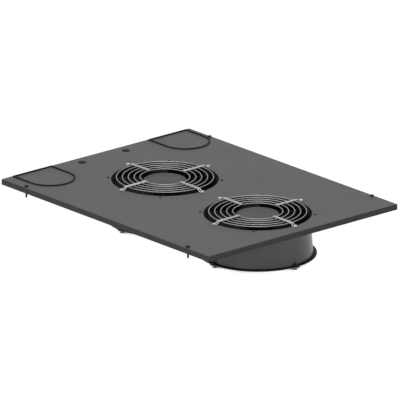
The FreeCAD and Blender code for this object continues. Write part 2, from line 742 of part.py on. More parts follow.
# A rubber grommet in the bracket's middle hole, where the motor's lead comes out.
def make_lead_grommet(fan):
    neck = "dims.lead_hole_radius - dims.press_play"
    body = turned(f"lead_grommet_{fan}", [
        ("dims.grommet_bore", "-dims.grommet_flange"),
        ("dims.lead_hole_radius + dims.grommet_lip", "-dims.grommet_flange"),
        ("dims.lead_hole_radius + dims.grommet_lip", "0"),
        (neck, "0"),
        (neck, "dims.bracket_gauge + dims.grommet_reach"),
        ("dims.grommet_bore", "dims.bracket_gauge + dims.grommet_reach"),
    ])
    place(body, y=FAN_Y[fan], z=f"{MOTOR_SEAT} - dims.bracket_gauge")
    return body


# The rotor's shaft, from under the lower bearing up into the rotor can's boss.
def make_rotor_shaft(fan):
    shaft = doc.addObject("Part::Cylinder", f"rotor_shaft_{fan}")
    shaft.Label = f"rotor_shaft_{fan}"
    shaft.setExpression("Radius", "dims.shaft_radius")
    shaft.setExpression("Height", f"{CAN_INNER_TOP} - {BEARING_FLOOR} + dims.shaft_tail")
    place(shaft, y=FAN_Y[fan], z=f"{BEARING_FLOOR} - dims.shaft_tail")
    return shaft


# A spring clip on the shaft under the lower bearing, which keeps the rotor from lifting off.
def make_shaft_clip(fan):
    gauge = size("dims.clip_gauge")
    ring = Part.makeCylinder(size("dims.clip_radius"), gauge)
    ring = ring.cut(Part.makeCylinder(size("dims.shaft_radius + dims.press_play"), gauge))
    clip = group(f"shaft_clip_{fan}", ring, [Vector()])
    place(clip, y=FAN_Y[fan], z=f"{BEARING_FLOOR} - dims.clip_play - dims.clip_gauge")
    return clip


# The rotor can: a steel cup, open downwards, that turns round the stator, its boss pressed on the shaft.
def make_rotor_can(fan):
    outer = f"({CAN_RADIUS} - dims.press_play)"
    foot = f"{CAN_FOOT} - {CAN_TOP}"
    bore = "dims.shaft_radius + dims.press_play"
    boss_foot = "-(dims.can_wall + dims.can_boss_height)"
    body = turned(f"rotor_can_{fan}", [
        ("0", "0"),
        (outer, "0"),
        (outer, foot),
        (f"{outer} - dims.can_wall", foot),
        (f"{outer} - dims.can_wall", "-dims.can_wall"),
        ("dims.can_boss_radius", "-dims.can_wall"),
        ("dims.can_boss_radius", boss_foot),
        (bore, boss_foot),
        (bore, "-dims.can_wall"),
        ("0", "-dims.can_wall"),
    ])
    place(body, y=FAN_Y[fan], z=CAN_TOP)
    return body


def blade_section(radius, share):
    """One thin, hollow-faced section of a blade, on a plane across its own radius."""
    chord = size("dims.blade_root_chord") * (1 - share) + size("dims.blade_tip_chord") * share
    pitch = math.radians(size("dims.blade_root_pitch") * (1 - share) + size("dims.blade_tip_pitch") * share)
    forward = size("dims.blade_sweep") * share ** 2
    middle = Vector(radius, forward, -size("dims.blade_middle_drop"))
    along = Vector(0, math.cos(pitch), -math.sin(pitch))
    lift = Vector(0, math.sin(pitch), math.cos(pitch))
    sag = chord * size("dims.blade_camber")
    half = size("dims.blade_gauge") / 2
    reach = along * (chord / 2)
    upper = [middle - reach + lift * half, middle - lift * (sag - half), middle + reach + lift * half]
    lower = [point - lift * (2 * half) for point in upper]
    edges = [
        Part.Arc(upper[0], upper[1], upper[2]).toShape(),
        Part.makeLine(upper[2], lower[2]),
        Part.Arc(lower[2], lower[1], lower[0]).toShape(),
        Part.makeLine(lower[0], upper[0]),
    ]
    return Part.Wire(edges)


# The impeller: a moulded hub pressed over the rotor can, with twisted blades swept forwards. Their
# tips are turned to one running radius inside the shroud's throat.
def make_impeller(fan):
    top_to_foot = size(f"{HUB_TOP} - {CAN_FOOT} - dims.hub_foot_rise")
    hub_radius = size("dims.hub_radius")
    bore = size(CAN_RADIUS)
    tip = size(BLADE_TIP)
    hub = Part.makeCylinder(hub_radius, top_to_foot, Vector(0, 0, -top_to_foot))
    hollow = Part.makeCylinder(bore, top_to_foot - size("dims.hub_cap"), Vector(0, 0, -top_to_foot))
    hub = hub.cut(hollow)
    root = math.sqrt(bore ** 2 - (size("dims.blade_root_chord") / 2) ** 2)
    sections = []
    for share in (0, 0.5, 1):
        sections.append(blade_section(root + (tip + size("dims.hub_wall") - root) * share, share))
    blade = Part.makeLoft(sections, True, False)
    inner = (bore + hub_radius) / 2
    ring = Part.makeCylinder(tip, top_to_foot, Vector(0, 0, -top_to_foot))
    ring = ring.cut(Part.makeCylinder(inner, top_to_foot, Vector(0, 0, -top_to_foot)))
    blade = blade.common(ring)
    count = int(size("dims.blade_count"))
    blades = []
    for number in range(count):
        copy = blade.copy()
        copy.rotate(Vector(), Vector(0, 0, 1), size("dims.blade_start_angle") + 360 * number / count)
        blades.append(copy)
    feature = doc.addObject("Part::Feature", f"impeller_{fan}")
    feature.Label = f"impeller_{fan}"
    feature.Shape = hub.multiFuse(blades)
    place(feature, y=FAN_Y[fan], z=HUB_TOP)
    return feature


def make_fan(fan):
    """Everything that belongs to one fan and is not a shared fastener."""
    outlet_rise = size("dims.guard_rise")
    return [
        make_fan_shroud(fan),
        make_guard(f"outlet_guard_{fan}", outlet_rise, False, fan, "dims.panel_height"),
        make_guard(f"inlet_guard_{fan}", 0, True, fan, BRACKET_FOOT),
        make_motor_bracket(fan),
        make_motor_base(fan),
        make_stator_core(fan),
        make_stator_windings(fan),
        make_lead_grommet(fan),
        make_rotor_shaft(fan),
        make_shaft_clip(fan),
        make_rotor_can(fan),
        make_impeller(fan),
    ]


pieces = [make_top_panel()]
for side in ENTRY_X:
    pieces += [make_cable_cover(side), make_cover_seal(side)]
pieces += [
    make_hole_plugs(),
    make_mounting_screws(),
    make_screw_retainers(),
    make_shroud_screws(),
    make_outlet_guard_screws(),
    make_inlet_guard_bolts(),
    make_flange_nuts(),
    make_motor_screws(),
    make_bearings(),
]
for fan in FAN_Y:
    pieces += make_fan(fan)
doc.recompute()

for item in doc.Objects:
    if "Invalid" in item.State or "Error" in item.State:
        raise RuntimeError(f"{item.Label} failed to build")
for piece in pieces:
    if piece.Shape.isNull() or not piece.Shape.isValid():
        raise RuntimeError(f"{piece.Label} has no sound shape")

os.makedirs("parts", exist_ok=True)
for piece in pieces:
    piece.Shape.exportStep(f"parts/{piece.Label}.step")
    print(piece.Label, len(piece.Shape.Solids), "solids", round(piece.Shape.Volume), "mm3")
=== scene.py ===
import math

import bmesh
import bpy
from mathutils import Matrix, Vector


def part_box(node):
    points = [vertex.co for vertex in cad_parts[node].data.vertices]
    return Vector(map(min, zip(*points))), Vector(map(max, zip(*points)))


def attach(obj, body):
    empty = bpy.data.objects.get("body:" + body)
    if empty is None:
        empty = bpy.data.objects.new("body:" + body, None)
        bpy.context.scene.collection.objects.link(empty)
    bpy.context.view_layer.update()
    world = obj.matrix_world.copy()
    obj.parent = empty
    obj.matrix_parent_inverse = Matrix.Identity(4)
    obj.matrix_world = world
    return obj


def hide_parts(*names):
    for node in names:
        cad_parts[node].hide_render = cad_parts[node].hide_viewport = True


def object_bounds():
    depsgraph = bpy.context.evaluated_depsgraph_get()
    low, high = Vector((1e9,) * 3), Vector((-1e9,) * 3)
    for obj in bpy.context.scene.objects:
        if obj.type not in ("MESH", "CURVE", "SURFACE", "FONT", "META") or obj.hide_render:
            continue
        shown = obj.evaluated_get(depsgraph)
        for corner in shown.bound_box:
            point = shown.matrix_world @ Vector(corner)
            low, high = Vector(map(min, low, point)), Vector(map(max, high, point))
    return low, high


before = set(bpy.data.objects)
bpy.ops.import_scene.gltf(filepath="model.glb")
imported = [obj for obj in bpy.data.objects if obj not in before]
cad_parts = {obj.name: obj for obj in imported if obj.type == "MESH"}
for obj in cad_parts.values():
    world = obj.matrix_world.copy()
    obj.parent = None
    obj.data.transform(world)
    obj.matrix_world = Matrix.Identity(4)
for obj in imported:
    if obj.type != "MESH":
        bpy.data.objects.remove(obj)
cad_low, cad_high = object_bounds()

# Camera, floor and studio light. The tray stands on a plain white floor under a soft overhead lamp,
# helped by a weak one low at the front left and a faint one at the right. A long lens far off keeps
# the tray's long sides almost parallel.
MM = 0.001
scene = bpy.context.scene
scene.view_settings.view_transform = "Standard"

lens = bpy.data.cameras.new("camera")
lens.sensor_width = 36.0
lens.lens = 1163.0
lens.clip_start = 1.0
lens.clip_end = 100.0
camera = bpy.data.objects.new("camera", lens)
scene.collection.objects.link(camera)
scene.camera = camera
turn, tilt, distance = -0.7112, 0.32437, 30.9277
back = Vector((math.sin(turn) * math.cos(tilt), -math.cos(turn) * math.cos(tilt), math.sin(tilt)))
right = Vector((math.cos(turn), math.sin(turn), 0.0))
up = back.cross(right)
aim = Vector((-42.51945, -53.36697, 15.13742)) * MM
facing = Matrix((right, up, back)).transposed().to_4x4()
camera.matrix_world = Matrix.Translation(aim + back * distance) @ facing

for name, spot, width, watts in (
    ("overhead", (0.2, 0.3, 3.0), 2.4, 58.0),
    ("front", (-3.0, -1.6, 0.5), 1.8, 4.6),
    ("side", (3.4, -1.2, 1.2), 1.6, 0.4),
):
    lamp = bpy.data.lights.new(name, "AREA")
    lamp.shape = "DISK"
    lamp.size = width
    lamp.energy = watts
    holder = bpy.data.objects.new(name, lamp)
    holder.location = spot
    holder.rotation_mode = "QUATERNION"
    holder.rotation_quaternion = Vector(spot).to_track_quat("Z", "Y")
    scene.collection.objects.link(holder)


def feed(node, inputs):
    """Gives each named or numbered input of a shader node its value, or a link from another node."""
    for place, value in inputs.items():
        if isinstance(value, bpy.types.Node):
            value = value.outputs[0]
        if isinstance(value, bpy.types.NodeSocket):
            node.id_data.links.new(value, node.inputs[place])
        else:
            node.inputs[place].default_value = value
    return node


def add_node(tree, kind, inputs, **settings):
    """Adds a shader node to a tree with its settings and its inputs."""
    node = tree.nodes.new(kind)
    for setting, value in settings.items():
        setattr(node, setting, value)
    return feed(node, inputs)


def background_rays(tree):
    """The rays that meet the background: straight from the camera, and off metal or through glass."""
    ray = tree.nodes.new("ShaderNodeLightPath").outputs
    bounced = add_node(tree, "ShaderNodeMath", {0: ray["Is Glossy Ray"], 1: ray["Is Transmission Ray"]},
                       operation="MAXIMUM")
    return ray["Is Camera Ray"], bounced


def glowing(tree, colour, strength):
    """A matt white that also gives off a little light of its own."""
    matt = add_node(tree, "ShaderNodeBsdfDiffuse", {"Color": (colour, colour, colour, 1.0)})
    glow = add_node(tree, "ShaderNodeEmission", {"Strength": strength})
    return add_node(tree, "ShaderNodeAddShader", {0: matt, 1: glow})


sky = bpy.data.worlds.new("studio")
sky.use_nodes = True
scene.world = sky
tree = sky.node_tree
seen, bounced = background_rays(tree)
shown = add_node(tree, "ShaderNodeMath", {0: seen, 1: bounced}, operation="MAXIMUM")
level = add_node(tree, "ShaderNodeMapRange", {"Value": shown, "To Min": 0.1, "To Max": 1.0})
feed(tree.nodes["Background"], {"Color": (1.0, 1.0, 1.0, 1.0), "Strength": level})

ground = bmesh.new()
bmesh.ops.create_circle(ground, cap_ends=True, segments=64, radius=6.0)
bmesh.ops.translate(ground, verts=ground.verts, vec=(0.0, 0.0, cad_low.z))
mesh = bpy.data.meshes.new("floor")
ground.to_mesh(mesh)
ground.free()
floor = bpy.data.objects.new("floor", mesh)
scene.collection.objects.link(floor)
paper = bpy.data.materials.new("floor_paper")
paper.use_nodes = True
tree = paper.node_tree
tree.nodes.remove(tree.nodes["Principled BSDF"])
# The floor, as the camera sees it, glows less where the tray stands close over it: a painted shadow.
floor_occlusion = add_node(tree, "ShaderNodeAmbientOcclusion", {"Distance": 0.1})
painted_shadow = add_node(tree, "ShaderNodeMapRange", {
    "Value": floor_occlusion.outputs["AO"], "From Min": 0.08, "From Max": 0.31, "To Min": 0.03, "To Max": 1.0})
lit, mirrored, looked_at = (
    glowing(tree, colour, strength) for colour, strength in ((0.38, 0.15), (0.12, 0.96), (0.12, painted_shadow)))
seen, bounced = background_rays(tree)
unseen = add_node(tree, "ShaderNodeMixShader", {"Fac": bounced, 1: lit, 2: mirrored})
above = add_node(tree, "ShaderNodeMixShader", {"Fac": seen, 1: unseen, 2: looked_at})
beneath = tree.nodes.new("ShaderNodeNewGeometry").outputs["Backfacing"]
gone = tree.nodes.new("ShaderNodeBsdfTransparent")
one_sided = add_node(tree, "ShaderNodeMixShader", {"Fac": beneath, 1: above, 2: gone})
feed(tree.nodes["Material Output"], {"Surface": one_sided})
floor.data.materials.append(paper)


# Top panel: one folded steel sheet with a fine textured powder coat, a little paler along its bends
# and the edges of its cut-outs: partly rubbed wear, partly a painted highlight.
def surface(name, colour, *, drift, roughness, grain, depth, metallic=0.0, shine=0.5, wear_and_highlight=None,
            grid=(1, 1, 1)):
    """A finish whose colour and gloss drift over the piece, with a fine raised grain and soft edges.

    The grain's width and depth are in millimetres, and grid draws the grain out along an axis. Given
    wear_and_highlight, the finish takes that colour along its edges: partly rubbed wear, partly a
    painted highlight.
    """
    if name in bpy.data.materials:
        bpy.data.materials[name].name = f"{name}_plain"
    material = bpy.data.materials.new(name)
    material.use_nodes = True
    tree = material.node_tree
    place = tree.nodes.new("ShaderNodeTexCoord").outputs["Object"]
    drawn = add_node(tree, "ShaderNodeVectorMath", {0: place, 1: grid}, operation="MULTIPLY")
    broad = add_node(tree, "ShaderNodeTexNoise", {"Vector": place, "Scale": 9.0, "Detail": 5.0})
    fine = add_node(tree, "ShaderNodeTexNoise", {
        "Vector": drawn, "Scale": 1.0 / (grain * MM), "Detail": 3.0})
    both = add_node(tree, "ShaderNodeMath", {0: broad, 1: fine}, operation="ADD")
    tone = add_node(tree, "ShaderNodeValToRGB", {"Fac": both})
    for stop, spot, share in zip(tone.color_ramp.elements, (0.7, 1.0), (1.0 - drift, 1.0 + drift)):
        stop.position = spot
        stop.color = [channel * share for channel in colour] + [1.0]
    colouring = tone.outputs["Color"]
    soft = add_node(tree, "ShaderNodeBevel", {"Radius": (0.8 if wear_and_highlight else 0.3) * MM}, samples=4)
    # Edges turn paler: partly rubbed wear, partly a painted highlight.
    if wear_and_highlight:
        flat = tree.nodes.new("ShaderNodeNewGeometry").outputs["Normal"]
        bent = add_node(tree, "ShaderNodeVectorMath", {0: soft, 1: flat}, operation="DISTANCE")
        rub_and_highlight = add_node(tree, "ShaderNodeMath", {0: bent.outputs["Value"], 1: broad},
                       operation="MULTIPLY")
        edge = add_node(tree, "ShaderNodeMapRange", {"Value": rub_and_highlight, "From Min": 0.12, "From Max": 0.45})
        first, second = 6, 7  # the Mix node's two colour inputs, whose names it uses for others too
        paler_edges = add_node(tree, "ShaderNodeMix", {0: edge, first: colouring, second: list(wear_and_highlight) + [1.0]},
                        data_type="RGBA")
        colouring = paler_edges.outputs[2]
    gloss = add_node(tree, "ShaderNodeMapRange", {
        "Value": both, "From Min": 0.7, "From Max": 1.3, "To Min": roughness[0], "To Max": roughness[1]})
    raised = add_node(tree, "ShaderNodeBump", {
        "Height": fine, "Normal": soft, "Distance": depth * MM, "Strength": 0.6})
    feed(tree.nodes["Principled BSDF"], {
        "Base Color": colouring, "Metallic": metallic, "Specular IOR Level": shine, "Roughness": gloss,
        "Normal": raised})
    return material


def dress(node, material):
    """Gives a modelled piece its finish."""
    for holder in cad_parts[node].material_slots:
        holder.material = material


panel_paint = surface("panel_paint", (0.105, 0.105, 0.106), drift=0.06, roughness=(0.48, 0.6), grain=0.7,
                      depth=0.03, shine=0.2, wear_and_highlight=(0.17, 0.17, 0.17))
dress("top_panel", panel_paint)


# Cable entry covers and their seals: flat blanks of the same painted sheet, held all round in a
# matt black rubber strip that grips the edges of the entries.
rubber = surface("black_rubber", (0.013, 0.013, 0.014), drift=0.2, roughness=(0.7, 0.85), grain=0.5,
                 depth=0.04, shine=0.2)
for side in ("left", "right"):
    dress(f"cable_cover_{side}", panel_paint)
    dress(f"cover_seal_{side}", rubber)


# Hole plugs: two soft rubber buttons pressed into round holes between the cable entries, turned as
# a low dome with a barbed skirt under the sheet.
def soften(shape, offset, angle, segments=3, shortest=0.0):
    """Rounds the edges of a closed shape that turn by more than an angle, leaving the shorter ones."""
    edges = [edge for edge in shape.edges
             if edge.calc_face_angle(0.0) > angle and edge.calc_length() > shortest]
    bmesh.ops.bevel(shape, geom=edges, offset=offset, offset_type="OFFSET", segments=segments,
                    profile=0.5, affect="EDGES", material=-1, clamp_overlap=True)


def lathe(outline, steps, rounding=0.0):
    """Turns an outline of (radius, height) once round the upright axis and rounds its sharp rings."""
    shape = bmesh.new()
    points = [shape.verts.new((radius, 0.0, height)) for radius, height in outline]
    edges = [shape.edges.new(pair) for pair in zip(points, points[1:])]
    if outline[0][0] > 0.0:
        edges.append(shape.edges.new((points[-1], points[0])))
    bmesh.ops.spin(shape, geom=edges, cent=(0, 0, 0), axis=(0, 0, 1), dvec=(0, 0, 0),
                   angle=math.tau, steps=steps, use_merge=True)
    bmesh.ops.remove_doubles(shape, verts=shape.verts, dist=0.001)
    bmesh.ops.recalc_face_normals(shape, faces=shape.faces)
    if rounding:
        soften(shape, rounding, angle=0.4)
    return shape


def add(whole, part, spot=(0, 0, 0), turn=0.0, flip=False):
    """Adds a copy of a drawn shape to a larger one, turned, turned over and moved to its place."""
    mesh = bpy.data.meshes.new("copy")
    part.to_mesh(mesh)
    matrix = Matrix.Translation(spot) @ Matrix.Rotation(turn, 4, "Z")
    if flip:
        matrix = matrix @ Matrix.Rotation(math.pi, 4, "X")
    mesh.transform(matrix)
    whole.from_mesh(mesh)
    bpy.data.meshes.remove(mesh)


def piece(name, shape, finish, body="root", sharp=32):
    """Makes a shape drawn in millimetres into a piece of the tray and gives it its finish.
    """
    bmesh.ops.scale(shape, vec=(MM, MM, MM), verts=shape.verts)
    bmesh.ops.recalc_face_normals(shape, faces=shape.faces)
    mesh = bpy.data.meshes.new(name)
    shape.to_mesh(mesh)
    shape.free()
    mesh.shade_smooth()
    mesh.set_sharp_from_angle(angle=math.radians(sharp))
    for material in finish:
        mesh.materials.append(material)
    made = bpy.data.objects.new(name, mesh)
    scene.collection.objects.link(made)
    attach(made, body)
    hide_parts(name)


def corners(node, radius):
    """Where round pieces of this radius stand in the corners of a node's box, in millimetres."""
    low, high = (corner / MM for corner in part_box(node))
    return [(x, y) for x in (low.x + radius, high.x - radius) for y in (low.y + radius, high.y - radius)]


PANEL_TOP = 14.0
BUTTON, HOLE = 10.5, 7.98
button = lathe([
    (0, 2.0), (4, 1.93), (7, 1.7), (8.8, 1.3), (10, 0.6), (BUTTON, 0), (HOLE, 0), (HOLE, -1.5),
    (HOLE + 0.7, -2.2), (6.0, -5), (0, -5),
], steps=48)
plugs = bmesh.new()
for x, y in corners("hole_plugs", BUTTON)[::2]:  # each place comes twice, as they stand side by side
    add(plugs, button, (x, y, PANEL_TOP))
button.free()
piece("hole_plugs", plugs, [rubber], sharp=40)


# Mounting screws and their retainers: four black socket screws with a thin neck under the head, so
# that the steel retainers pressed on behind the sheet keep them in the panel.
def draw_circle(shape, count, radius, spot=(0, 0, 0), matrix=Matrix()):
    """Draws an open circle in a shape and gives its edges."""
    points = bmesh.ops.create_circle(
        shape, cap_ends=False, segments=count, radius=radius, matrix=matrix)["verts"]
    bmesh.ops.translate(shape, verts=points, vec=spot)
    return [edge for edge in shape.edges if edge.verts[0] in points and edge.verts[1] in points]


def socket_head(radius, height, key):
    """A rounded screw head standing on its seat, with a six-sided socket sunk into it."""
    shape = bmesh.new()
    loops = [draw_circle(shape, count, across, (0, 0, level)) for count, across, level in (
        (32, radius, 0.0), (32, radius, height - 0.9), (32, radius - 0.35, height - 0.3),
        (32, radius - 1.0, height), (6, key, height), (6, key, height * 0.4),
    )]
    for lower, upper in zip(loops, loops[1:]):
        bmesh.ops.bridge_loops(shape, edges=lower + upper)
    bmesh.ops.holes_fill(shape, edges=loops[0] + loops[-1], sides=32)
    return shape


def threaded_rod(radius, start, end, pitch):
    """A plain rod from start down to end, ridged like a thread and chamfered at its tip."""
    core = radius - 0.3
    outline = [(0, start), (core, start)]
    for ridge in range(int((start - end - 1.0) / pitch)):
        level = start - ridge * pitch
        outline += [(radius, level - pitch * 0.4), (radius, level - pitch * 0.55), (core, level - pitch)]
    outline += [(radius - 0.6, end), (0, end)]
    return lathe(outline, steps=24)


retainer_steel = surface("zinc_plate", (0.5, 0.51, 0.52), drift=0.12, roughness=(0.3, 0.5), grain=0.4,
                         depth=0.02, metallic=1.0)
black_steel = surface("black_steel", (0.01, 0.01, 0.0105), drift=0.15, roughness=(0.45, 0.6), grain=0.3,
                      depth=0.01, shine=0.25, wear_and_highlight=(0.04, 0.04, 0.04))
HEAD, NECK, NECK_END, SCREW_END = 5.0, 2.1, -3.0, -27.0
screw = (
    socket_head(HEAD, height=3.7, key=1.9),
    lathe([(0, 0), (NECK, 0), (NECK, NECK_END), (0, NECK_END)], steps=24),
    threaded_rod(2.5, NECK_END, SCREW_END, pitch=0.8),
)
screws = bmesh.new()
for x, y in corners("mounting_screws", HEAD):
    for part in screw:
        add(screws, part, (x, y, PANEL_TOP), turn=x + y)
for part in screw:
    part.free()
piece("mounting_screws", screws, [black_steel], sharp=25)
dress("screw_retainers", retainer_steel)


# Fan shrouds: deep round ducts of painted steel with a flat flange at each end. The throat narrows
# just under the panel, the wall opens out a little downwards, and the lower lip is rounded. Outside
# they are painted like the panel, in a lighter copy of its paint: painted light that makes up for the
# shade under the panel. The flanges are matt black, and the inside is near black: painted shade.
FANS = {fan: sum(corner.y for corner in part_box(f"fan_shroud_{fan}")) / 2 / MM
        for fan in ("front", "rear")}
UNDERSIDE = 12.5
DUCT_DEPTH = 98.5
FLANGE, FLANGE_GAUGE = 141.8, 3.0
LEDGE = FLANGE_GAUGE - DUCT_DEPTH
WALL_FOOT = 132.8
# A lighter copy of the panel's paint: painted light on the wall, which stands in the panel's shade.
lit_wall_paint = surface("shroud_paint", (0.217, 0.217, 0.219), drift=0.06, roughness=(0.22, 0.32),
                     grain=0.6, depth=0.02, shine=0.4, wear_and_highlight=(0.3, 0.3, 0.3))
flange_black = surface("flange_black", (0.02, 0.02, 0.02), drift=0.15, roughness=(0.4, 0.6), grain=0.5,
                       depth=0.02, shine=0.3)
# The inside of the duct is near black: painted shade.
inside_painted_shade = surface("inside_painted_shade", (0.007, 0.007, 0.007), drift=0.2, roughness=(0.7, 0.85), grain=0.5,
                     depth=0.02, shine=0.05)
shroud_looks = [lit_wall_paint, flange_black, inside_painted_shade]
duct = lathe([
    (130.0, 0), (FLANGE, 0), (FLANGE, -FLANGE_GAUGE), (130.54, -FLANGE_GAUGE), (126.7, -6.84),
    (WALL_FOOT, LEDGE), (FLANGE, LEDGE), (FLANGE, -DUCT_DEPTH), (133.8, -DUCT_DEPTH), (130.3, -95),
    (124.2, -5.8),
], steps=144, rounding=0.9)
# Each face by its place: the lightened paint outside the wall, black on the flanges, painted shade
# inside.
for face in duct.faces:
    middle = face.calc_center_median()
    radius = math.hypot(middle.x, middle.y)
    outwards = face.normal.x * middle.x + face.normal.y * middle.y
    wall = outwards > 0 and LEDGE + 1.0 < middle.z < -FLANGE_GAUGE - 0.2 and radius < WALL_FOOT + 0.4
    rim = radius > WALL_FOOT - 0.8 and not wall
    colouring = lit_wall_paint if wall else flange_black if rim else inside_painted_shade
    face.material_index = shroud_looks.index(colouring)
for fan, y in FANS.items():
    shroud = bmesh.new()
    add(shroud, duct, (0, y, UNDERSIDE))
    piece(f"fan_shroud_{fan}", shroud, shroud_looks)
duct.free()


# Motor brackets, motors and bearings inside the shrouds: pressed black crosses, cast aluminium bases,
# laminated cores with copper windings, and the steel cans that turn round them.
bracket_paint = surface("bracket_paint", (0.018, 0.018, 0.019), drift=0.12, roughness=(0.4, 0.6),
                        grain=0.6, depth=0.03, shine=0.4, wear_and_highlight=(0.06, 0.06, 0.06))
cast = surface("cast_aluminium", (0.52, 0.53, 0.54), drift=0.12, roughness=(0.45, 0.65), grain=1.2,
               depth=0.08, metallic=0.9)
lamination = surface("lamination_steel", (0.2, 0.2, 0.21), drift=0.35, roughness=(0.4, 0.6), grain=8.0,
                     depth=0.05, metallic=0.8, grid=(0.2, 0.2, 16.0))
copper = surface("winding_copper", (0.55, 0.2, 0.07), drift=0.3, roughness=(0.25, 0.4), grain=6.0,
                 depth=0.2, metallic=0.8, grid=(0.6, 0.6, 10.0))
bearing_steel = surface("bearing_steel", (0.6, 0.6, 0.61), drift=0.08, roughness=(0.15, 0.3), grain=0.5,
                        depth=0.005, metallic=1.0)
can_steel = surface("can_steel", (0.3, 0.3, 0.31), drift=0.12, roughness=(0.3, 0.5), grain=0.8,
                    depth=0.02, metallic=0.9)
dress("bearings", bearing_steel)
for fan in FANS:
    dress(f"motor_bracket_{fan}", bracket_paint)
    dress(f"motor_base_{fan}", cast)
    dress(f"stator_core_{fan}", lamination)
    dress(f"stator_windings_{fan}", copper)
    dress(f"lead_grommet_{fan}", rubber)
    dress(f"rotor_shaft_{fan}", bearing_steel)
    dress(f"shaft_clip_{fan}", retainer_steel)
    dress(f"rotor_can_{fan}", can_steel)


# Impellers: five thin twisted blades swept forwards from a moulded hub, black glass-filled plastic.
# Each blade is a curved sheet given its thickness, and its edges are rounded. Only the hub's top cap
# shows the plastic's own colour; the blades and the rest of the hub, down in the duct, get a darker
# copy of it: painted shade.
plastic = surface("impeller_plastic", (0.03, 0.03, 0.031), drift=0.15, roughness=(0.4, 0.6), grain=0.8,
                  depth=0.03, shine=0.35)
# A darker copy of the impeller's plastic: painted shade down in the duct.
blade_painted_shade = surface("blade_painted_shade", (0.008, 0.008, 0.008), drift=0.2, roughness=(0.6, 0.75), grain=0.8,
                      depth=0.03, shine=0.1)
impeller_looks = [plastic, blade_painted_shade]
HUB, HUB_BORE, HUB_CAP, HUB_DEPTH, HUB_EDGE = 51.5, 48.6, 2.5, 60.0, 1.2
BLADES, FIRST_BLADE = 5, 210.0
BLADE_LEVEL, BLADE_GAUGE, CAMBER, SWEEP = -26.0, 2.4, 0.09, 22.0
ROOT_CHORD, TIP_CHORD = 62.0, 92.0
ROOT_PITCH, TIP_PITCH = 48.0, 27.0
ROOT = math.sqrt(HUB_BORE ** 2 - (ROOT_CHORD / 2) ** 2)
BLADE_START, BLADE_TIP = 50.0, 122.0
SHEET_END = BLADE_TIP + 2.9


def blade_point(x, along):
    """Where the blade's middle sheet lies at a distance x out, and along = -1 to 1 across its chord."""
    share = (x - ROOT) / (SHEET_END - ROOT)
    chord = ROOT_CHORD + (TIP_CHORD - ROOT_CHORD) * share
    pitch = math.radians(ROOT_PITCH + (TIP_PITCH - ROOT_PITCH) * share)
    sag = CAMBER * chord * (1 - along ** 2)
    y = SWEEP * share ** 2 + math.cos(pitch) * chord / 2 * along - math.sin(pitch) * sag
    z = BLADE_LEVEL - math.sin(pitch) * chord / 2 * along - math.cos(pitch) * sag
    return Vector((x, y, z))


def reach(radius, along):
    """How far out the blade's sheet meets a cylinder of this radius."""
    x = radius
    for _ in range(12):
        x = (x + math.sqrt(radius ** 2 - blade_point(x, along).y ** 2)) / 2
    return x


blade = bmesh.new()
bmesh.ops.create_grid(blade, x_segments=18, y_segments=16, size=1.0)
for vertex in blade.verts:
    out, along = (vertex.co.x + 1) / 2, vertex.co.y
    inner, outer = reach(BLADE_START, along), reach(BLADE_TIP, along)
    vertex.co = blade_point(inner + (outer - inner) * out, along)
bmesh.ops.recalc_face_normals(blade, faces=blade.faces)
bmesh.ops.solidify(blade, geom=blade.faces[:] + blade.edges[:] + blade.verts[:], thickness=BLADE_GAUGE)
soften(blade, 0.8, angle=1.0)
for face in blade.faces:
    face.material_index = impeller_looks.index(blade_painted_shade)
hub = lathe([
    (0, 0), (HUB, 0), (HUB, -HUB_DEPTH), (HUB_BORE, -HUB_DEPTH), (HUB_BORE, -HUB_CAP), (0, -HUB_CAP),
], steps=96, rounding=HUB_EDGE)
# The hub's top cap keeps the plastic's own colour, and the rest of the hub takes the painted shade.
for face in hub.faces:
    cap = face.calc_center_median().z > -HUB_EDGE - 0.1
    face.material_index = impeller_looks.index(plastic if cap else blade_painted_shade)
for fan, y in FANS.items():
    wheel = bmesh.new()
    add(wheel, hub, (0, y, UNDERSIDE))
    for number in range(BLADES):
        add(wheel, blade, (0, y, UNDERSIDE), turn=math.radians(FIRST_BLADE + 360 / BLADES * number))
    piece(f"impeller_{fan}", wheel, impeller_looks, body=f"rotor_{fan}")
blade.free()
hub.free()


# Finger guards: five rings of bright plated wire welded to four hairpin spokes, whose outer ends are
# bent down and closed round their screws. The guards under the fans are flat, with the rings outermost.
# The spokes have the rings' plating in a lighter copy: a painted highlight.
WIRE = 1.15
WIRE_SIDES = 14
WELDED = 2.1
RINGS, FIRST_RING, RING_STEP, RING_RISE = 5, 60.0, 14.25, 5.0
SPOKES, SPOKE_START, SPOKE_BEND, SPOKE_FOOT = 4, 58.0, 124.0, 131.0
LEG, EYE, LEG_BEND = 2.7, 3.4, 3.0
SCREW_CIRCLE = 137.5
BRACKET_FOOT = UNDERSIDE - DUCT_DEPTH - 2.0
plated = surface("guard_plate", (0.27, 0.275, 0.28), drift=0.12, roughness=(0.35, 0.5), grain=0.4,
                 depth=0.02, metallic=1.0)
# The same plating as the rings, lighter: a painted highlight on the spokes, which lie on top.
spoke_painted_highlight = surface("spoke_painted_highlight", (0.5, 0.505, 0.51), drift=0.12, roughness=(0.35, 0.5), grain=0.4,
                      depth=0.02, metallic=1.0)
guard_looks = [plated, spoke_painted_highlight]


def pull(shape, loop, steps=1, shift=(0, 0, 0), centre=(0, 0, 0), axis=(0, 0, 1), angle=0.0):
    """Draws the open end of a wire on, straight by a shift or round a centre, and gives its new end."""
    made = bmesh.ops.spin(shape, geom=loop, cent=centre, axis=axis, dvec=shift, angle=angle, steps=steps,
                          use_merge=False)
    return [item for item in made["geom_last"] if isinstance(item, bmesh.types.BMEdge)]


